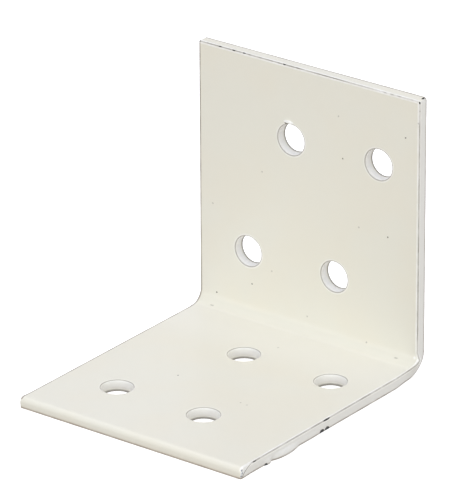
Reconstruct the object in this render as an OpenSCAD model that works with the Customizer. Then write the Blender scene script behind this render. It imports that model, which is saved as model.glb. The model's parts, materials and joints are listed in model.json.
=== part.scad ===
// Folded angle bracket: one punched steel sheet, bent once and powder coated cream white.
// The foot leg lies on the XY plane and runs towards -Y. The wall leg stands at the back, along +Z.
// X runs along the fold. The origin is the middle of the footprint, on the underside.

/* [Sheet] */
// Width across the bracket, along the fold
width = 50; // [46:0.5:90]
// Height of the wall leg, from the underside to the top edge
wall_height = 54.7; // [52:0.1:90]
// Reach of the foot leg, from the back face to the front edge
foot_reach = 55.9; // [54:0.1:90]
// Thickness of the coated sheet
sheet = 2.15; // [1.9:0.05:3]

/* [Fold] */
// Inside radius of the fold
fold_r = 2.2; // [1.8:0.1:4]
// How far the squeezed inside of the fold stands out past the right side
swell = 0.6; // [0.2:0.05:0.8]
// Radius of that swollen patch, measured on the side of the bracket
swell_reach = 1.3; // [1.2:0.05:1.7]
// Turn from the wall leg to the middle of that patch
swell_turn = 27; // [20:1:60]
// How far the stretched outside of the fold draws in at the right side
draw_in = 0.5; // [0.2:0.05:0.6]
// Radius of that drawn-in patch, measured on the side of the bracket
draw_in_reach = 4.2; // [2:0.1:4.4]
// Turn from the wall leg to the middle of that patch
draw_in_turn = 70; // [40:1:75]
// How far the squeezed inside of the fold stands out past the left side
left_swell = 0.25; // [0.1:0.05:0.6]
// Radius of the left side's swollen patch
left_swell_reach = 2.4; // [1.2:0.1:2.8]
// Turn from the wall leg to the middle of the left side's swollen patch
left_swell_turn = 60; // [30:1:70]
// How far the stretched outside of the fold draws in at the left side
left_draw_in = 0.4; // [0.2:0.05:0.6]
// Radius of the left side's drawn-in patch
left_draw_in_reach = 2.7; // [2:0.1:3.2]
// Turn from the wall leg to the middle of the left side's drawn-in patch
left_draw_in_turn = 45; // [30:1:60]

/* [Edges] */
// Rounding of the two long sheared edges on each side
side_r = 0.1; // [0.1:0.05:0.5]
// Roll-over along the top of the foot's front edge
nose_r = 1.1; // [0.8:0.05:1.7]
// Rounding of both top edges of the wall leg
top_r = 0.1; // [0.1:0.05:0.5]
// Rounding of the foot leg's two free corners, seen from above
foot_corner_r = 0.3; // [0.2:0.1:2]
// Rounding of the wall leg's two free corners, seen from the front
wall_corner_r = 0.2; // [0.2:0.1:2]

/* [Holes] */
// Diameter of the punched holes
hole_d = 6; // [4:0.1:7]
// Distance between neighbouring hole columns
column_pitch = 9.9; // [8:0.1:11]
// How far the whole hole pattern sits off the middle, towards +X
column_shift = 1.1; // [0:0.1:2]
// Distance between the two rows of the wall leg
wall_row_pitch = 24.85; // [15:0.05:26]
// Distance from the wall leg's top edge to its upper row
wall_end_gap = 14.7; // [8:0.1:16]
// Distance between the two rows of the foot leg
foot_row_pitch = 25.2; // [15:0.05:26]
// Distance from the foot leg's front edge to its front row
foot_end_gap = 14; // [8:0.1:16]
// Rounding of the hole rims on the wall leg's inner face
wall_rim_r = 0.1; // [0.1:0.05:0.6]
// Soft punched-in rounding of the hole rims on the foot leg's upper face
foot_rim_r = 0.3; // [0.2:0.05:0.8]
// Rounding of the hole rims on the back face and the underside
far_rim_r = 0.1; // [0.05:0.05:0.3]

/* [Coating marks] */
// Length of the lump of burr and coating on the foot's right edge
lump_length = 7.6; // [4:0.2:9]
// How far that lump stands out of the side
lump_proud = 0.7; // [0.3:0.05:0.9]
// Distance from the front edge to the middle of the lump
lump_from_front = 13.4; // [12:0.2:30]
// Length of the small burr in front of the lump
burr_length = 1.8; // [1:0.1:2.2]
// How far that burr stands out of the side
burr_proud = 0.3; // [0.2:0.05:0.4]
// Distance from the front edge to the middle of the burr
burr_from_front = 8.1; // [7:0.1:8.5]
// Radius of the nick between the burr and the lump, measured on the side
nick_reach = 0.7; // [0.4:0.1:1]
// Depth of the nick below the side
nick_depth = 0.2; // [0.1:0.05:0.3]
// Distance from the front edge to the middle of the nick
nick_from_front = 9.4; // [9:0.1:11]
// Radius of the raised flake beside the rim of the first upper hole
flake_reach = 0.4; // [0.3:0.05:0.45]
// Height of that flake above the wall leg's inner face
flake_proud = 0.25; // [0.1:0.05:0.3]
// Distance from the rim to the middle of the flake
flake_gap = 0.5; // [0.5:0.05:1]
// Turn from straight above the hole to the flake, towards -X
flake_turn = 10; // [0:1:60]

/* [Hidden] */
$fn = 96;
cut = 1;                                 // how far cutters run past what they cut
back_y = foot_reach / 2;                 // back face of the wall leg
front_y = -foot_reach / 2;               // front edge of the foot leg
inner_y = back_y - sheet;                // inner face of the wall leg
outer_r = fold_r + sheet;                // outside radius of the fold
fold_y = back_y - outer_r;               // the fold's centre line
fold_z = outer_r;
hole_r = hole_d / 2;
wall_upper_z = wall_height - wall_end_gap;
wall_lower_z = wall_upper_z - wall_row_pitch;
foot_front_y = front_y + foot_end_gap;
foot_back_y = foot_front_y + foot_row_pitch;
odd_columns = [0, 2];                    // columns counted from -X
even_columns = [1, 3];

function column_x(i) = (i - 1.5) * column_pitch + column_shift;
// Radius of a ball whose cap stands h high on a patch of radius a
function cap_r(a, h) = (a * a + h * h) / (2 * h);

// Cross-section of the sheet: x runs through the thickness from the inside of the fold, y across the width
module sheet_section() {
    half = width / 2;
    translate([0, side_r - half]) square([sheet, width - 2 * side_r]);
    translate([side_r, -half]) square([sheet - 2 * side_r, width]);
    for (x = [side_r, sheet - side_r], y = [side_r - half, half - side_r])
        translate([x, y]) circle(r = side_r);
}

// Places a shape made round the Z axis on the fold's centre line, turning from the wall leg to the foot leg
module at_fold() {
    translate([0, fold_y, fold_z]) rotate([-90, 0, 0]) rotate([0, -90, 0]) children();
}

module wall_leg() {
    translate([0, inner_y, fold_z]) rotate([0, 0, 90]) mirror([0, 1, 0])
        linear_extrude(wall_height - fold_z) sheet_section();
}

module foot_leg() {
    translate([0, fold_y, sheet]) rotate([90, 0, 0]) rotate([0, 0, -90])
        linear_extrude(fold_y - front_y) sheet_section();
}

module fold() {
    at_fold() rotate_extrude(angle = 90) translate([fold_r, 0]) sheet_section();
}

// What a rounded edge takes off a square corner at the origin, with the stock towards -X and -Y
module edge_cutter(r, length) {
    linear_extrude(length, center = true) difference() {
        translate([-r, -r]) square(r + cut);
        translate([-r, -r]) circle(r = r);
    }
}

// Rounds the free end of both legs
module end_cutters() {
    run = width + 4 * cut;
    translate([0, front_y, sheet]) rotate([90, 0, 90]) mirror([1, 0, 0])
        edge_cutter(nose_r, run);
    translate([0, back_y, wall_height]) rotate([90, 0, 90]) edge_cutter(top_r, run);
    translate([0, inner_y, wall_height]) rotate([90, 0, 90]) mirror([1, 0, 0])
        edge_cutter(top_r, run);
}

// Rounds the free corners, seen face on
module corner_cutters() {
    for (side = [0, 1]) mirror([side, 0, 0]) {
        translate([width / 2, front_y, sheet / 2]) mirror([0, 1, 0])
            edge_cutter(foot_corner_r, sheet + 2 * cut);
        translate([width / 2, back_y - sheet / 2, wall_height]) rotate([90, 0, 0])
            edge_cutter(wall_corner_r, sheet + 2 * cut);
    }
}

// A punched hole along Z through stock from z = -sheet to 0, with a rim rounding at each mouth
module hole_cutter(near_rim, far_rim) {
    rotate_extrude() {
        translate([0, -sheet - cut]) square([hole_r, sheet + 2 * cut]);
        difference() {
            translate([0, -near_rim]) square([hole_r + near_rim, near_rim + cut]);
            translate([hole_r + near_rim, -near_rim]) circle(r = near_rim);
        }
        difference() {
            translate([0, -sheet - cut]) square([hole_r + far_rim, far_rim + cut]);
            translate([hole_r + far_rim, -sheet + far_rim]) circle(r = far_rim);
        }
    }
}

module wall_row(z, columns) {
    for (i = columns) translate([column_x(i), inner_y, z]) rotate([90, 0, 0])
        hole_cutter(wall_rim_r, far_rim_r);
}

module foot_row(y, columns) {
    for (i = columns) translate([column_x(i), y, sheet]) hole_cutter(foot_rim_r, far_rim_r);
}

// A ball that cuts a side's plane, or stands past it, in a round patch on the fold; side is 1 right, -1 left
module fold_ball(side, radius, turn, ball_r, middle) {
    translate([side * middle, fold_y, fold_z]) rotate([-turn, 0, 0]) translate([0, radius, 0]) sphere(ball_r);
}

// At each end of the fold the inside is squeezed out
module swell_caps() {
    half = width / 2;
    right_r = cap_r(swell_reach, swell);
    left_r = cap_r(left_swell_reach, left_swell);
    intersection() {
        union() {
            at_fold() rotate_extrude(angle = 90) translate([fold_r, -half - cut])
                square([sheet, width + 2 * cut]);
            translate([-half - cut, inner_y, fold_z]) cube([width + 2 * cut, sheet, outer_r]);
            translate([-half - cut, fold_y - outer_r, 0]) cube([width + 2 * cut, outer_r, sheet]);
        }
        union() {
            fold_ball(1, fold_r, swell_turn, right_r, half + swell - right_r);
            fold_ball(-1, fold_r, left_swell_turn, left_r, half + left_swell - left_r);
        }
    }
}

// At each end of the fold the outside is drawn in
module draw_in_cutters() {
    half = width / 2;
    right_r = cap_r(draw_in_reach, draw_in);
    left_r = cap_r(left_draw_in_reach, left_draw_in);
    fold_ball(1, outer_r, draw_in_turn, right_r, half - draw_in + right_r);
    fold_ball(-1, outer_r, left_draw_in_turn, left_r, half - left_draw_in + left_r);
}

// A spindle of burr and coating along the foot's right edge, flat underneath
module spindle(from_front, length, proud) {
    arc_r = cap_r(length / 2, proud);
    intersection() {
        translate([width / 2, front_y + from_front, proud / 2]) rotate([90, 0, 0])
            rotate_extrude() intersection() {
                translate([proud - arc_r, 0]) circle(r = arc_r);
                translate([0, -length / 2]) square([proud, length]);
            }
        translate([0, front_y, 0]) cube([width, foot_reach, sheet]);
    }
}

// The nick in the right side's lower edge, between the burr and the lump
module nick_cutter() {
    ball_r = cap_r(nick_reach, nick_depth);
    translate([width / 2 - nick_depth + ball_r, front_y + nick_from_front, nick_reach / 2]) sphere(ball_r);
}

// A raised flake of coating on the upper left of the first hole in the wall's upper row
module flake() {
    ball_r = cap_r(flake_reach, flake_proud);
    off = hole_r + wall_rim_r + flake_gap;
    translate([column_x(even_columns[0]), inner_y, wall_upper_z]) rotate([0, -flake_turn, 0])
        translate([0, 0, off]) intersection() {
            translate([0, ball_r - flake_proud, 0]) sphere(ball_r);
            translate([-cut, -cut, -cut]) cube([2 * cut, cut + sheet / 2, 2 * cut]);
        }
}

module bracket() {
    color([0.91, 0.90, 0.85]) difference() {
        union() {
            difference() {
                union() {
                    wall_leg();
                    fold();
                    foot_leg();
                }
                draw_in_cutters();
            }
            swell_caps();
            spindle(lump_from_front, lump_length, lump_proud);
            spindle(burr_from_front, burr_length, burr_proud);
            flake();
        }
        nick_cutter();
        end_cutters();
        corner_cutters();
        wall_row(wall_upper_z, even_columns);
        wall_row(wall_lower_z, odd_columns);
        foot_row(foot_back_y, even_columns);
        foot_row(foot_front_y, odd_columns);
    }
}

bracket();
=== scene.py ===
"""Folded angle bracket in a cream powder coat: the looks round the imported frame, in metres."""
import json
from math import cos, pi, radians, sin

import bpy
import numpy as np
from mathutils import Matrix, Vector


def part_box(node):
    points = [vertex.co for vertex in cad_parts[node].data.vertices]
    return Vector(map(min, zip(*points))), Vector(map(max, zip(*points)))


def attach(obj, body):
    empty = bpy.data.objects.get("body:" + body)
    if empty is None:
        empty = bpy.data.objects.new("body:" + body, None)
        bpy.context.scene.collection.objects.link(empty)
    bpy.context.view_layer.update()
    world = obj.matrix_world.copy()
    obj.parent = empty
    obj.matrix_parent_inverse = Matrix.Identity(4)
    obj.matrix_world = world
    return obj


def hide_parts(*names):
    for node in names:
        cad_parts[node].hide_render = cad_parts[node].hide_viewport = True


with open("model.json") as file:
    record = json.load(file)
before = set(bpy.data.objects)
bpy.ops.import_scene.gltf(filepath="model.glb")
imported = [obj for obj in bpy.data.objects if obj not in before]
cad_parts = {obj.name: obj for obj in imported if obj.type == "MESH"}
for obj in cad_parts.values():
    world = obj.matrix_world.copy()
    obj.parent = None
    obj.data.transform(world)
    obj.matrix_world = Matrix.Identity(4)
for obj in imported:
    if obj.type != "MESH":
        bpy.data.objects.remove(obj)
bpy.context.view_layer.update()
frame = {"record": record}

# The blank: one rectangle sheared from steel sheet, with two rows of two holes punched in each half.
# It is worked out flat, as across, down and deep: across the width, down from the wall leg's top edge
# to the foot leg's front edge, and deep from the face that ends up inside the angle.
low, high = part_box("bracket")
half_width = 0.025
sheet = 0.00215
fold_r = 0.0022
outer_r = fold_r + sheet
wall_run = high.z - outer_r
foot_run = high.y - low.y - outer_r
fold_run = (fold_r + sheet / 2) * pi / 2
blank_run = wall_run + fold_run + foot_run
side_r = 0.0001
top_r = 0.0001
nose_r = 0.0011
lip_r = 0.0001
edge_steps = 5
nose_steps = 10
deep_edge_steps = 4
deep_nose_steps = 8
block_cells = 20


def punched_holes(record):
    """Each hole as (across, down, radius, on the wall leg). A pattern's two holes lie half its spacing to
    either side of its middle."""
    found = []
    for mount in record["mounts"]:
        if mount["kind"] == "bolt_pattern":
            x, y, z = mount["pos_m"]
            on_wall = abs(mount["axis"][1]) > 0.5
            down = high.z - z if on_wall else wall_run + fold_run + high.y - outer_r - y
            spread = mount["dims"]["spacing_x_mm"] / 2000
            radius = mount["dims"]["hole_r_mm"] / 1000
            found += [(x - spread, down, radius, on_wall), (x + spread, down, radius, on_wall)]
    return found


holes = punched_holes(frame["record"])
hole_columns = sorted({round(hole[0], 6) for hole in holes})
hole_rows = sorted({round(hole[1], 6) for hole in holes})
block = (hole_columns[1] - hole_columns[0]) / 2


def edge_lines(radius, steps):
    """Depths from 0 to radius, whose shares 1 - tan(angle) fall evenly along the quarter circle that the
    edge becomes."""
    return radius * (1 - np.tan(np.linspace(pi / 4, 0, steps + 1)))


def even_lines(stops, spacing):
    """Lines from stop to stop, evenly spaced between two stops at about the given spacing."""
    spans = [np.linspace(start, stop, max(1, round((stop - start) / spacing)), endpoint=False)
             for start, stop in zip(stops, stops[1:])]
    return np.concatenate(spans + [stops[-1:]])


cell = 2 * block / block_cells
side_lines = edge_lines(side_r, edge_steps)
column_stops = [side_r - half_width, *(x - block for x in hole_columns), hole_columns[-1] + block,
                half_width - side_r]
across_lines = np.concatenate([
    -half_width + side_lines[:-1],
    even_lines(column_stops, cell),
    (half_width - side_lines[:-1])[::-1]])
row_stops = [stop for row in hole_rows for stop in (row - block, row + block)]
fold_stops = [wall_run, wall_run + fold_run]
down_lines = np.concatenate([
    edge_lines(top_r, edge_steps)[:-1],
    even_lines(sorted([top_r, *row_stops, *fold_stops, blank_run - nose_r]), cell),
    (blank_run - edge_lines(nose_r, nose_steps)[:-1])[::-1]])
deep_lines = np.unique(np.round(np.concatenate([
    edge_lines(side_r, deep_edge_steps),
    edge_lines(nose_r, deep_nose_steps),
    sheet - edge_lines(side_r, deep_edge_steps)]), 7))


def loop_round(grid):
    """The numbers round the border of a grid, once, from its first corner along its first row."""
    return np.concatenate([grid[0, :-1], grid[:-1, -1], grid[-1, :0:-1], grid[:0:-1, 0]])


def quads_between(rows, closed=False):
    """Quads between neighbouring rows of vertex numbers, round to the first column again where closed."""
    if closed:
        rows = np.column_stack([rows, rows[:, 0]])
    return np.stack([rows[:-1, :-1], rows[:-1, 1:], rows[1:, 1:], rows[1:, :-1]], -1).reshape(-1, 4)


face_steps = 8
arc_steps = 6
bore_steps = 6
lip_steps = 6
lip_depth = 0.0005


def hole_profile(radius, near_rim, far_rim, lip_height):
    """A hole's section as rows of (share, radius, deep). Share runs 0 to 1 from the block's border to the
    rim, then a quarter circle turns into the bore, and the same goes back on the far side. Near the far rim
    coat has run into a lip that narrows the bore by lip_height, along the square of the way through the
    last lip_depth."""
    turn = np.linspace(0, pi / 2, arc_steps + 1)
    one = np.ones_like(turn)
    share = np.linspace(0, 1, face_steps + 1)[1:-1]
    lip_start, far_start = sheet - far_rim - lip_depth, sheet - far_rim
    plain = np.linspace(near_rim, lip_start, bore_steps + 1)[1:]
    lipped = np.linspace(lip_start, far_start, lip_steps + 1)[1:-1]
    narrowed = radius - lip_height * ((lipped - lip_start) / lip_depth) ** 2
    end = radius - lip_height
    return np.concatenate([
        np.stack([share, 0 * share + radius + near_rim, 0 * share], 1),
        np.stack([one, radius + near_rim * (1 - np.sin(turn)), near_rim * (1 - np.cos(turn))], 1),
        np.stack([1 + 0 * plain, 0 * plain + radius, plain], 1),
        np.stack([1 + 0 * lipped, narrowed, lipped], 1),
        np.stack([one, end + far_rim * (1 - np.cos(turn)), sheet - far_rim * (1 - np.sin(turn))], 1),
        np.stack([share[::-1], 0 * share + end + far_rim, 0 * share + sheet], 1)])


far_rim = 0.0001
wall_hole = {"near_rim": 0.0001, "far_rim": far_rim, "lip_height": 0.00012}
foot_hole = {"near_rim": 0.0003, "far_rim": far_rim, "lip_height": 0.0003}
far_away = 0.01
across, down = np.meshgrid(across_lines, down_lines)
inside = np.arange(across.size).reshape(across.shape)
outside = inside + inside.size
points = [np.stack([across, down, 0 * across], -1).reshape(-1, 3),
          np.stack([across, down, 0 * across + sheet], -1).reshape(-1, 3)]
rim_gap = [np.full(2 * inside.size, far_away)]
count = 2 * inside.size

# the sheared border, from the inside face to the outside face
border = loop_round(inside)
border_rows = count + np.arange((len(deep_lines) - 2) * len(border)).reshape(-1, len(border))
border_points = np.tile(points[0][border], (len(deep_lines) - 2, 1))
border_points[:, 2] = np.repeat(deep_lines[1:-1], len(border))
points.append(border_points)
rim_gap.append(np.full(len(border_points), far_away))
count += border_rows.size
faces = [quads_between(np.vstack([border, border_rows, loop_round(outside)]), closed=True)]

# the eight holes, each in a square block of the grid whose first corner lies at minus 135 degrees
kept = np.ones((len(down_lines) - 1, len(across_lines) - 1), bool)
for x, y, radius, on_wall in holes:
    first_column = np.argmin(abs(across_lines - (x - block)))
    first_row = np.argmin(abs(down_lines - (y - block)))
    last_column = first_column + block_cells
    last_row = first_row + block_cells
    kept[first_row:last_row, first_column:last_column] = False
    in_block = np.s_[first_row:last_row + 1, first_column:last_column + 1]
    loop = loop_round(inside[in_block])
    square = points[0][loop][:, :2] - (x, y)
    angle = np.linspace(-0.75 * pi, 1.25 * pi, len(loop), endpoint=False)
    circle = np.stack([np.cos(angle), np.sin(angle)], 1)
    profile = hole_profile(radius, **(wall_hole if on_wall else foot_hole))
    share, reach = profile[:, 0, None, None], profile[:, 1, None, None]
    spot = (1 - share) * square + share * reach * circle + (x, y)
    spot_deep = np.broadcast_to(profile[:, 2, None, None], spot.shape[:2] + (1,))
    points.append(np.concatenate([spot, spot_deep], -1).reshape(-1, 3))
    off_axis = np.hypot(*(spot - (x, y)).transpose(2, 0, 1))
    rim_gap.append(np.maximum(off_axis - radius, 0).ravel())
    rings = count + np.arange(len(profile) * len(loop)).reshape(-1, len(loop))
    count += rings.size
    rows = np.vstack([loop, rings, loop_round(outside[in_block])])
    faces.append(quads_between(rows, closed=True)[:, ::-1])

faces.append(quads_between(inside)[kept.ravel()][:, ::-1])
faces.append(quads_between(outside)[kept.ravel()])
flat = np.concatenate(points)
used, faces = np.unique(np.concatenate(faces), return_inverse=True)
flat, faces = flat[used], faces.reshape(-1, 4)
rim_gap = np.concatenate(rim_gap)[used]


# The edges: shearing and tumbling leave each one a little round, and the coat fills them out.
# The top of the foot leg's front edge is rolled over by the shear, much more than the others.
foot_corner_r = 0.0003
left_foot_corner_r = 0.0001
wall_corner_r = 0.0002
back_corner_more = 0.0003
top_slant_left = 0.00004
top_slant_right = 0.00026
top_slant_run = 0.0015
least_distance = 1e-9


def rolled_edge(depth_a, depth_b, radius):
    """New depths below two faces that meet at a rounded edge. With a and b the distances from the inner
    corner of the square of side radius at the edge, over radius, a point there moves to the share
    max(a, b) / hypot(a, b) of them."""
    a, b = 1 - depth_a / radius, 1 - depth_b / radius
    near = (a > 0) & (b > 0)
    pull = np.where(near, np.maximum(a, b) / np.maximum(np.hypot(a, b), least_distance), 1)
    return radius * (1 - a * pull), radius * (1 - b * pull)


def rounded_blank(flat):
    """The blank with its edges rolled: small ones first, then the free corners seen face on, then the nose.
    The shear also left the top slanting down towards the inside, at the right end the most."""
    side = np.sign(flat[:, 0])
    inset, down, deep = half_width - abs(flat[:, 0]), flat[:, 1].copy(), flat[:, 2].copy()
    inset, deep = rolled_edge(inset, deep, side_r)
    inset, rest = rolled_edge(inset, sheet - deep, side_r)
    deep = sheet - rest
    down, deep = rolled_edge(down, deep, top_r)
    down, rest = rolled_edge(down, sheet - deep, top_r)
    deep = sheet - rest
    ahead, rest = rolled_edge(blank_run - down, sheet - deep, lip_r)
    deep = sheet - rest
    ahead, inset = rolled_edge(ahead, inset, np.where(side > 0, foot_corner_r, left_foot_corner_r))
    corner_r = np.where(side > 0, wall_corner_r + back_corner_more * deep / sheet, wall_corner_r)
    down, inset = rolled_edge(blank_run - ahead, inset, corner_r)
    slant = top_slant_left + (top_slant_right - top_slant_left) * (0.5 + flat[:, 0] / (2 * half_width))
    down = down + slant * (1 - deep / sheet) * np.clip(1 - down / top_slant_run, 0, 1)
    ahead, deep = rolled_edge(blank_run - down, deep, nose_r)
    return np.stack([side * (half_width - inset), blank_run - ahead, deep], 1)


def edge_gaps(flat):
    """Distances over the blank's faces to the nearest edge, first of the inside face's right and top ones,
    then of the outside face's four and the inside face's left one. To one edge it is the greater of the
    gaps to the two faces that meet there."""
    right, left = half_width - flat[:, 0], half_width + flat[:, 0]
    down, deep = flat[:, 1], flat[:, 2]
    ahead, rest = blank_run - down, sheet - deep
    inner = np.maximum(np.minimum(right, down), deep)
    outer = np.maximum(np.minimum(np.minimum(right, left), np.minimum(down, ahead)), rest)
    return inner, np.minimum(outer, np.maximum(left, deep))


inner_gap, outer_gap = edge_gaps(flat)
cut_gap = half_width - abs(flat[:, 0])
blank = rounded_blank(flat)

# The fold: the blank is pressed over a tool to a right angle. At both ends of the fold the squeezed
# inside stands out, at the right in a peak near the wall leg, and the stretched outside draws in. Each
# such patch is the radius and turn of its middle about the fold's line, its reach and its height.
fold_y = high.y - outer_r
fold_z = outer_r
fade = 0.003
blunt = 0.1
inside_draw = 0.55
outside_more = 0.45
right_swell = (fold_r, radians(25), 0.0012, 0.00062)
left_swell = (fold_r, radians(60), 0.0024, 0.00023)
right_draw_in = (outer_r, radians(80), 0.0058, 0.00053)
left_draw_in = (outer_r, radians(45), 0.0027, 0.0004)


def folded(flat):
    """Bends the blank: straight down the wall leg, a quarter turn about the fold's line, then straight
    along the foot leg."""
    turn = np.clip((flat[:, 1] - wall_run) / fold_run, 0, 1) * pi / 2
    along = np.maximum(flat[:, 1] - wall_run - fold_run, 0)
    above = np.maximum(wall_run - flat[:, 1], 0)
    r = fold_r + flat[:, 2]
    return np.stack([flat[:, 0], fold_y + r * np.cos(turn) - along, fold_z - r * np.sin(turn) + above], 1)


def ball_height(distance, reach, height):
    """Height of a ball over a plane, at a distance from its middle: `height` there, 0 at `reach`, and less
    past it."""
    ball = (reach ** 2 + height ** 2) / (2 * height)
    return np.sqrt(np.maximum(ball ** 2 - distance ** 2, 0)) - (ball - height)


def peak_height(distance, reach, height):
    """Height of a cone over a plane: `height` in the middle, where the share `blunt` of its reach is
    rounded."""
    return height * (1 + blunt - np.hypot(distance, blunt * reach) / reach)


def dish_height(distance, reach, height):
    """Height of a flat-rimmed dish: `height` times the square of 1 - (distance / reach) squared, and 0
    past its reach."""
    return height * np.clip(1 - (distance / reach) ** 2, 0, 1) ** 2


def patch_height(height_over, shape, patch):
    """Height of a patch, by the distance to its middle as seen along the fold's line."""
    radius, turn, reach, height = patch
    distance = np.hypot(shape[:, 1] - fold_y - radius * cos(turn),
                        shape[:, 2] - fold_z + radius * sin(turn))
    return height_over(distance, reach, height)


def fold_ends(shape, deep):
    """Moves each end of the fold in by a dish or a ball's cap, at the right less on the inside, or out by
    a peak or a cap where that stands higher, fading off inwards."""
    share = inside_draw + outside_more * deep / sheet
    right_in = share * patch_height(dish_height, shape, right_draw_in)
    left_in = np.maximum(patch_height(ball_height, shape, left_draw_in), 0)
    right = np.maximum(patch_height(peak_height, shape, right_swell), -right_in)
    left = np.maximum(patch_height(ball_height, shape, left_swell), -left_in)
    depth = np.clip((half_width - abs(shape[:, 0])) / fade, 0, 1)
    moved = shape.copy()
    moved[:, 0] += np.where(shape[:, 0] > 0, right, -left) * (1 - depth) ** 2
    return moved


shape = fold_ends(folded(blank), blank[:, 2])

# The burrs: the shear left them low on the foot leg's right side, the largest a spindle beside a nick,
# and one on its left front corner. Each is its side, its middle and reach along the edge, its middle and
# half height up the side, and how proud it is. A flake of coat stands up by the first upper hole.
low_burr = (0.0003, 0.0009)
front_burr = (0.0014, 0.0016)
burrs = [(1, 0.0134, 0.0038, low_burr, 0.00068), (1, 0.0200, 0.0040, low_burr, 0.0001),
         (1, 0.0081, 0.0009, low_burr, 0.00028), (1, 0.0094, 0.0007, low_burr, -0.0002),
         (1, 0.0045, 0.0030, low_burr, -0.00012), (-1, 0.0, 0.0022, front_burr, 0.00024)]
flake_reach = 0.00042
flake_length = 2.6
flake_lean = 0.15
flake_proud = 0.00025
flake_off_rim = 0.0005
flake_turn = radians(10)


def burred_sides(shape):
    """Moves a side out by each burr: a parabola along the edge times a parabola up the side, fading off
    inwards."""
    from_front = shape[:, 1] - low.y
    moved = shape.copy()
    for side, middle, reach, (burr_middle, half_height), proud in burrs:
        along = np.clip(1 - ((from_front - middle) / reach) ** 2, 0, 1)
        up = np.clip(1 - ((shape[:, 2] - burr_middle) / half_height) ** 2, 0, 1)
        depth = np.clip((half_width - side * shape[:, 0]) / half_height, 0, 1)
        moved[:, 0] += side * proud * along * up * (1 - depth) ** 2
    return moved


def flaked_face(shape):
    """Raises a ball's cap of coat, longer than high, off the wall leg's inner face above its first hole."""
    x, y, radius, on_wall = holes[0]
    off = radius + flake_off_rim
    aside = shape[:, 0] - x + off * sin(flake_turn)
    above = shape[:, 2] - (high.z - y) - off * cos(flake_turn)
    far = np.hypot(aside / flake_length, above + flake_lean * aside)
    on_face = shape[:, 1] < high.y - sheet + flake_off_rim
    moved = shape.copy()
    moved[:, 1] -= np.where(on_face, np.maximum(ball_height(far, flake_reach, flake_proud), 0), 0)
    return moved


shape = flaked_face(burred_sides(shape))

# The bracket: the folded steel sheet as one mesh, closed all round, in place of the CAD solid. Each
# vertex keeps its flat place and its gaps to the edges and rims, by which the coat finds its places.
mesh = bpy.data.meshes.new("bracket")
mesh.from_pydata(shape.tolist(), [], faces.tolist())
mesh.polygons.foreach_set("use_smooth", np.ones(len(faces), bool))
flat_place = mesh.attributes.new("flat_place", "FLOAT_VECTOR", "POINT")
flat_place.data.foreach_set("vector", blank.astype(np.float32).ravel())
gaps = {"inner_gap": inner_gap, "outer_gap": outer_gap, "cut_gap": cut_gap, "rim_gap": rim_gap}
for name, gap in gaps.items():
    mesh.attributes.new(name, "FLOAT", "POINT").data.foreach_set("value", gap.astype(np.float32))
mesh.update()
bracket = bpy.data.objects.new("coated_bracket", mesh)
bpy.context.scene.collection.objects.link(bracket)
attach(bracket, "root")
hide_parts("bracket")

# The coat: cream polyester powder, sprayed on and baked. It flows into a faint orange peel, thins to a grey
# line on every sharp edge and hole rim, and has a few dark grains and bare chips in it. Painted light and
# shade lie over it: the grey lines are partly painted shade, and there are painted highlights on the edges,
# rims, flake and fold, painted light in the bores and beside the fold, and painted shade in the fold, under
# the flake and along the outer edges.
cream = (0.82, 0.80, 0.70, 1)
warm_cream = (0.825, 0.795, 0.685, 1)
painted_light_cream = (0.855, 0.835, 0.745, 1)
painted_shade_cream = (0.785, 0.765, 0.66, 1)
edge_white = (0.84, 0.83, 0.80, 1)
painted_edge_highlight = (0.96, 0.95, 0.91, 1)
bore_painted_light = (0.98, 0.97, 0.93, 1)
thin_coat_and_shade_grey = (0.32, 0.30, 0.26, 1)
outer_shade_brown = (0.36, 0.32, 0.27, 1)
painted_glint_white = (0.97, 0.97, 0.94, 1)
grain_brown = (0.16, 0.14, 0.11, 1)
bare_steel = (0.008, 0.0075, 0.007, 1)
under_brown = (0.42, 0.30, 0.20, 1)
shear_white = (0.89, 0.90, 0.90, 1)
shade_blue = (0.20, 0.22, 0.27, 1)

coat = bpy.data.materials.new("cream_powder_coat")
coat.use_nodes = True
coat_tree = coat.node_tree
shader = coat_tree.nodes["Principled BSDF"]


def add_node(tree, kind, inputs, **settings):
    """One shader node with its settings. Each input is a plain value or another node's output."""
    node = tree.nodes.new(kind)
    for name, value in settings.items():
        setattr(node, name, value)
    for slot, value in inputs.items():
        if isinstance(value, bpy.types.NodeSocket):
            tree.links.new(value, node.inputs[slot])
        else:
            node.inputs[slot].default_value = value
    return node


def mixed_colour(tree, share, a, b):
    """Colour a turned into colour b by a share from 0 to 1."""
    return add_node(tree, "ShaderNodeMix", {0: share, 6: a, 7: b}, data_type="RGBA").outputs[2]


def noise(place, size, detail=2.0):
    """Soft noise from 0 to 1 in patches of about the given size in metres."""
    inputs = {"Vector": place, "Scale": 1 / size, "Detail": detail}
    return add_node(coat_tree, "ShaderNodeTexNoise", inputs).outputs["Fac"]


def ramp(value, start, stop, low_value=0.0, high_value=1.0):
    """A value taken smoothly from one range to another."""
    inputs = {"Value": value, "From Min": start, "From Max": stop,
              "To Min": low_value, "To Max": high_value}
    node = add_node(coat_tree, "ShaderNodeMapRange", inputs, interpolation_type="SMOOTHSTEP")
    return node.outputs["Result"]


def combine(operation, a, b):
    """Two numbers through one sum of arithmetic."""
    return add_node(coat_tree, "ShaderNodeMath", {0: a, 1: b}, operation=operation).outputs[0]


def times(a, b):
    """The product of two numbers, such as two masks."""
    return combine("MULTIPLY", a, b)


def minus(a, b):
    """The first number less the second."""
    return combine("SUBTRACT", a, b)


def greatest(a, b):
    """The greater of two numbers, such as two masks joined."""
    return combine("MAXIMUM", a, b)


def painted(colour, mask, paint):
    """The colour so far with a paint over it where its mask is 1."""
    return mixed_colour(coat_tree, mask, colour, paint)


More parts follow.
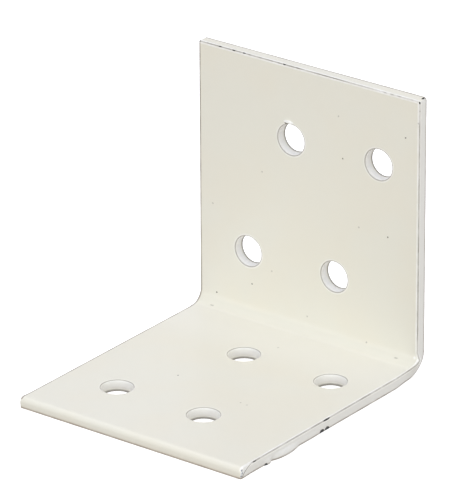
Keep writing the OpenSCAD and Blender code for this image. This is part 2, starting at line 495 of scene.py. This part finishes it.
def gap_kept(name):
    """A distance that the mesh keeps at its vertices."""
    return add_node(coat_tree, "ShaderNodeAttribute", {}, attribute_name=name).outputs["Fac"]


def combine_vectors(operation, a, b):
    """Two vectors through one sum of arithmetic, as the node's outputs `Vector` and `Value`."""
    return add_node(coat_tree, "ShaderNodeVectorMath", {0: a, 1: b}, operation=operation).outputs


def spots(place, middles, stretch, radius, soft):
    """1 inside any spot and 0 outside, by the least distance to a middle in space squeezed by `stretch`.
    The middles, radius and soft border are in millimetres."""
    squeezed = combine_vectors("MULTIPLY", place, tuple(1000 / part for part in stretch))["Vector"]
    nearest = None
    for middle in middles:
        target = tuple(part / pull for part, pull in zip(middle, stretch))
        gap = combine_vectors("DISTANCE", squeezed, target)["Value"]
        nearest = gap if nearest is None else combine("MINIMUM", nearest, gap)
    return ramp(nearest, radius + soft, radius - soft)


place = add_node(coat_tree, "ShaderNodeTexCoord", {}).outputs["Object"]
flat_vector = add_node(coat_tree, "ShaderNodeAttribute", {}, attribute_name="flat_place").outputs["Vector"]
flat_across, flat_down, flat_deep = add_node(coat_tree, "ShaderNodeSeparateXYZ", {0: flat_vector}).outputs
to_front = minus(blank_run, flat_down)
to_back = minus(sheet, flat_deep)
past_fold = minus(flat_down, wall_run + fold_run)
inner_edge = gap_kept("inner_gap")
outer_edge = gap_kept("outer_gap")
rim = gap_kept("rim_gap")
on_foot = ramp(flat_down, wall_run, wall_run + fold_run)


def by_leg(wall_value, foot_value):
    """A number that goes smoothly through the fold, from its wall leg's value to its foot leg's value."""
    return ramp(on_foot, 0.0, 1.0, wall_value, foot_value)


# each span below is two distances in metres, from where a mask is 0 to where it is 1, and each pair by
# leg is the wall leg's value and the foot leg's
inner_face_span = (0.0004, 0.0001)
inner_face = ramp(flat_deep, *inner_face_span)

# the powder itself, a little uneven, and greyer on the sheared sides
blotch_size = 0.012
blotch_range = (0.35, 0.65)
cut_side_span = (0.00012, 0.00004)
cut_side = ramp(gap_kept("cut_gap"), *cut_side_span)
colour = painted(cream, ramp(noise(place, blotch_size), *blotch_range), warm_cream)
colour = painted(colour, cut_side, edge_white)

# painted light on the foot leg before the fold, which is paler there, and painted shade in the fold itself,
# which is darker
painted_light_start = (-0.0018, -0.0004)
painted_light_end = (0.0165, 0.004)
stripe_start = (-0.0046, -0.0032)
stripe_end = (-0.0007, -0.0021)
foot_painted_light = times(ramp(past_fold, *painted_light_start), ramp(past_fold, *painted_light_end))
colour = painted(colour, times(foot_painted_light, inner_face), painted_light_cream)
fold_painted_shade = times(ramp(past_fold, *stripe_start), ramp(past_fold, *stripe_end))
colour = painted(colour, times(fold_painted_shade, inner_face), painted_shade_cream)

# the shear's clean band on the right side near the front: its border leaves the top edge and curves down
band_top = 0.0004
band_sweep = 0.0029
band_span = (0.0001, -0.0002)
front_span = (0.0035, 0.0025)
swept = times(times(to_back, to_back), band_sweep / sheet ** 2)
past_band = minus(minus(to_front, swept), band_top)
colour = painted(colour, times(cut_side, ramp(past_band, *band_span)), shear_white)
near_front = ramp(to_front, *front_span)

# painted light in the bores, paler towards the inside of the angle
bore_span = (0.0001, 0.00002)
bore_light_span = (sheet, 0.0012)
in_bore = ramp(rim, *bore_span)
colour = painted(colour, times(in_bore, ramp(flat_deep, *bore_light_span)), bore_painted_light)

# a painted highlight beside the inner edges and the rims, patchy and, round the rims, fainter
edge_highlight_span = (0.0006, 0.0004)
rim_highlight_span = (0.0005, 0.0003)
rim_area = (0.001, 0.0008)
rim_middles_by_leg = (0.00004, 0.00002)
rim_highlights_by_leg = (0.6, 0.3)
highlight_patch_size = 0.002
noise_range = (0.3, 0.7)
patchy = ramp(noise(place, highlight_patch_size, 3.0), *noise_range, 0.45, 1.0)
off_line = combine("ABSOLUTE", minus(minus(rim, flat_deep), by_leg(*rim_middles_by_leg)), 0.0)
near_rim = ramp(rim, *rim_area)
rim_highlight = times(ramp(off_line, *rim_highlight_span), by_leg(*rim_highlights_by_leg))
edge_and_rim_highlight = greatest(ramp(inner_edge, *edge_highlight_span), times(near_rim, rim_highlight))
colour = painted(colour, times(edge_and_rim_highlight, patchy), painted_edge_highlight)

# the grey line where the coat thins on the edge itself, and partly painted shade of the edge, fainter in
# the right half of the top edge, then the line along the shear's band in place of the edge's near the
# front, and those of the rims on both faces, which are painted shade, as is the line at the bores' far ends
edge_line_span = (0.00022, 0.00012)
band_line_span = (0.00024, 0.0001)
rim_shade_span = (0.00019, 0.0001)
far_rim_shade_span = (0.00045, 0.0002)
fade_across = (0.004, 0.016)
fade_down = (0.006, 0.003)
faded_share = 0.5
rim_shades_by_leg = (0.75, 0.7)
line_patch_size = 0.0035
broken = ramp(noise(place, line_patch_size, 4.0), *noise_range, 0.5, 1.0)
fading = times(ramp(flat_across, *fade_across), ramp(flat_down, *fade_down))
line = times(ramp(inner_edge, *edge_line_span), minus(1.0, near_front))
line = times(line, ramp(fading, 0.0, 1.0, 1.0, faded_share))
band_line = times(cut_side, ramp(combine("ABSOLUTE", past_band, 0.0), *band_line_span))
line = greatest(times(line, broken), times(band_line, near_front))
rim_shade_line = times(ramp(off_line, *rim_shade_span), by_leg(*rim_shades_by_leg))
line = greatest(line, times(near_rim, rim_shade_line))
line = greatest(line, ramp(greatest(rim, to_back), *far_rim_shade_span))
colour = painted(colour, line, thin_coat_and_shade_grey)

# painted shade and a brown reflection as a browner line on the outer edges, and painted brown light thrown
# up under the nose
outer_shade_span = (0.00045, 0.00022)
nose_span = (0.0016, 0.0002)
nose_deep_span = (0.0013, 0.0021)
nose_brown = 0.32
outer_edge_shade = times(ramp(outer_edge, *outer_shade_span), ramp(broken, 0.35, 1.0, 0.55, 1.0))
colour = painted(colour, outer_edge_shade, outer_shade_brown)
under_nose = times(ramp(to_front, *nose_span), ramp(flat_deep, *nose_deep_span))
colour = painted(colour, times(under_nose, nose_brown), under_brown)

# the marks keep their places but get ragged outlines
ragged_size = 0.00025
ragged_reach = (0.0002, 0.0002, 0.0002)
ragged_inputs = {"Vector": place, "Scale": 1 / ragged_size, "Detail": 1.0}
ragged = add_node(coat_tree, "ShaderNodeTexNoise", ragged_inputs).outputs["Color"]
ragged = combine_vectors("SUBTRACT", ragged, (0.5, 0.5, 0.5))["Vector"]
ragged = add_node(coat_tree, "ShaderNodeVectorMath", {0: ragged, 1: ragged_reach, 2: place},
                  operation="MULTIPLY_ADD").outputs["Vector"]

# the marks' middles in millimetres: on the two inner faces, on the right side and along the top edge
wall_face = 25.8
foot_face = 2.15
right_side = 25
top_edge = 54.53
top_fall = 0.004


def on_top_edge(x):
    """A place along the wall leg's inner top edge, which falls a little towards the right."""
    return (x, wall_face, top_edge - top_fall * x)


dark_grains = [(7.9, wall_face, 39.2), (21.9, wall_face, 46.7), (18.1, wall_face, 26.2),
               (-12.9, wall_face, 8.7), (-21.2, wall_face, 4.8), (-7.9, -3.4, foot_face)]
faint_grains = [(-8.3, wall_face, 12.5), (11.6, wall_face, 26.5), (13.5, wall_face, 3.9),
                (-10.5, wall_face, 32.0), (-22.0, wall_face, 22.8), (6.9, wall_face, 47.3),
                (-14.0, wall_face, 3.0), (-0.1, wall_face, 5.5), (8.4, -6.0, foot_face),
                (9.9, -6.1, foot_face), (-0.5, 17.3, foot_face), (right_side, 25.9, 52.6),
                (24.7, wall_face, 50.2)]
fold_smears = [(20.6, 25.2, 2.9), (-21.5, 24.7, 2.44)]
top_smears = [on_top_edge(x) for x in (-13.5, -11.0, -6.4, -2.4, 17.2, 18.8, 20.4)]
# the flake's top gets a painted highlight and its lower side a painted shadow, the fold's right end gets
# painted glints, and the front corner dots are painted shade
flake_painted_highlight = [(-4.45, wall_face, 43.4)]
flake_shade = [(-4.75, wall_face, 43.02)]
fold_glints = [(24.4, 25.7, 3.8), (25.2, 25.6, 3.5)]
corner_dots = [(right_side, -27.6, 1.7), (right_side, -27.5, 1.1), (right_side, -27.8, 0.6)]

# each kind of mark: its space, middles, stretch, radius, soft border, strength and colour
marks = [
    (ragged, faint_grains, (1, 1, 1), 0.16, 0.1, 0.4, grain_brown),
    (ragged, fold_smears + top_smears, (3, 1, 1), 0.14, 0.08, 0.4, grain_brown),
    (place, flake_painted_highlight, (3, 1, 1), 0.36, 0.06, 1.0, painted_glint_white),
    (place, flake_shade, (3.5, 1, 1), 0.17, 0.04, 1.0, grain_brown),
    (ragged, fold_glints, (1, 1, 1), 0.25, 0.15, 0.8, painted_glint_white),
    (ragged, dark_grains, (1, 1, 1), 0.15, 0.05, 1.0, grain_brown),
    (ragged, corner_dots, (1, 1, 1.3), 0.16, 0.08, 1.0, shade_blue)]
for space, middles, stretch, radius, soft, strength, paint in marks:
    colour = painted(colour, times(spots(space, middles, stretch, radius, soft), strength), paint)

# the chips down to the steel, each kind with its middles, stretch, radius and soft border
top_chips = [on_top_edge(x) for x in (-24.9, -20.1, -17.0, -14.6, -5.4)]
chip_kinds = [
    ([(right_side, -3.75, 0.24), (right_side, -2.2, 0.2)], (1, 1.6, 1), 0.42, 0.04),
    (top_chips, (2.2, 1, 1), 0.15, 0.04),
    ([(right_side, wall_face, 54.25)], (1, 1, 1.2), 0.22, 0.04),
    ([(24.65, 27.25, 54.7)], (1, 1.5, 1), 0.28, 0.05),
    ([(right_side, -20.55, 0.17)], (1, 1.4, 1), 0.28, 0.04),
    ([(right_side, -2.3, 2.12)], (1, 5, 1), 0.2, 0.04),
    ([(right_side, -23.9, 2.1)], (1, 4, 1), 0.13, 0.05)]
chips = 0.0
for middles, stretch, radius, soft in chip_kinds:
    chips = greatest(chips, spots(ragged, middles, stretch, radius, soft))
colour = painted(colour, chips, bare_steel)
coat_tree.links.new(colour, shader.inputs["Base Color"])

# the gloss, duller in the chips, the orange peel and the chips' depth
gloss_patch_size = 0.004
chip_roughness = 0.6
peel_size = 0.0012
gloss = ramp(noise(place, gloss_patch_size), *noise_range, 0.3, 0.36)
coat_tree.links.new(greatest(gloss, times(chips, chip_roughness)), shader.inputs["Roughness"])
peel_inputs = {"Strength": 0.35, "Distance": 0.00001, "Height": noise(place, peel_size)}
peel = add_node(coat_tree, "ShaderNodeBump", peel_inputs)
pit_inputs = {"Strength": 0.8, "Distance": 0.00006, "Height": chips, "Normal": peel.outputs["Normal"]}
pits = add_node(coat_tree, "ShaderNodeBump", pit_inputs, invert=True)
coat_tree.links.new(pits.outputs["Normal"], shader.inputs["Normal"])
mesh.materials.append(coat)


# The studio: square soft boxes overhead, in front and to the right, in a room of even pale light. They
# stand round the bracket on stands and are no part of it.
def add_lamp(name, place, aim, size, power, colour):
    """A square soft box at place that faces aim."""
    lamp = bpy.data.lights.new(name, "AREA")
    lamp.size = size
    lamp.energy = power
    lamp.color = colour
    holder = bpy.data.objects.new(name, lamp)
    bpy.context.scene.collection.objects.link(holder)
    holder.location = place
    holder.rotation_euler = (Vector(aim) - Vector(place)).to_track_quat("-Z", "Y").to_euler()


lamp_aim = (0, 0, 0.02)
add_lamp("overhead_soft_box", (-0.15, -0.1, 0.8), lamp_aim, 0.7, 1.72, (1.0, 0.97, 0.98))
add_lamp("front_soft_box", (0.05, -0.9, 0.3), lamp_aim, 0.6, 3.0, (0.97, 1.0, 0.98))
add_lamp("right_soft_box", (0.9, -0.1, 0.3), lamp_aim, 0.6, 2.85, (0.98, 1.0, 0.88))


def seen_rays(tree):
    """1 for a ray that shows the surface to the camera, straight, in gloss or through glass, and 0 for the
    rest."""
    rays = add_node(tree, "ShaderNodeLightPath", {}).outputs
    total = rays["Is Camera Ray"]
    for kind in ("Is Glossy Ray", "Is Transmission Ray"):
        total = add_node(tree, "ShaderNodeMath", {0: total, 1: rays[kind]}, operation="MAXIMUM").outputs[0]
    return total


room_light = (0.57, 0.585, 0.66, 1)
room_seen = (1, 1, 1, 1)
world = bpy.data.worlds.new("studio")
bpy.context.scene.world = world
world.use_nodes = True
world_tree = world.node_tree
sky = mixed_colour(world_tree, seen_rays(world_tree), room_light, room_seen)
world_tree.links.new(sky, world_tree.nodes["Background"].inputs["Color"])

# The floor: a sheet of white paper that the bracket stands on. To the eye it is white with the
# bracket's shadow, and to the bracket it throws up less and browner light.
floor_half = 3.0
floor_z = -0.00002
paper_light = (0.36, 0.31, 0.25, 1)
paper_seen = (0.8, 0.8, 0.8, 1)
paper_glow = 0.7
corners = [(-1, -1), (1, -1), (1, 1), (-1, 1)]
floor_mesh = bpy.data.meshes.new("floor")
floor_mesh.from_pydata([(x * floor_half, y * floor_half, floor_z) for x, y in corners], [], [(0, 1, 2, 3)])
floor = bpy.data.objects.new("floor", floor_mesh)
bpy.context.scene.collection.objects.link(floor)
paper = bpy.data.materials.new("white_paper")
paper.use_nodes = True
paper_tree = paper.node_tree
paper_shader = paper_tree.nodes["Principled BSDF"]
paper_shader.inputs["Roughness"].default_value = 0.9
paper_shader.inputs["Specular IOR Level"].default_value = 0
paper_shader.inputs["Emission Color"].default_value = (1, 1, 1, 1)
seen = seen_rays(paper_tree)
paper_colour = mixed_colour(paper_tree, seen, paper_light, paper_seen)
paper_tree.links.new(paper_colour, paper_shader.inputs["Base Color"])
glow = add_node(paper_tree, "ShaderNodeMath", {0: seen, 1: paper_glow}, operation="MULTIPLY").outputs[0]
paper_tree.links.new(glow, paper_shader.inputs["Emission Strength"])
floor_mesh.materials.append(paper)

# The camera: a long lens a metre off, three quarters from the front right and a little above. It is
# fixed on a stand that leans by a quarter of a degree.
aim = Vector((-0.00085, 0.00321, 0.02665))
camera_distance = 1.0211
azimuth = radians(37.26)
elevation = radians(23.57)
roll = radians(-0.26)
back = Vector((sin(azimuth) * cos(elevation), -cos(azimuth) * cos(elevation), sin(elevation)))
level = Vector((cos(azimuth), sin(azimuth), 0))
upright = back.cross(level)
right = cos(roll) * level + sin(roll) * upright
up = back.cross(right)
lens = bpy.data.cameras.new("camera")
lens.lens = 405.7
lens.sensor_width = 36
camera = bpy.data.objects.new("camera", lens)
bpy.context.scene.collection.objects.link(camera)
turned = Matrix((right, up, back)).transposed().to_4x4()
camera.matrix_world = Matrix.Translation(aim + camera_distance * back) @ turned
bpy.context.scene.camera = camera
bpy.context.scene.view_settings.view_transform = "Standard"
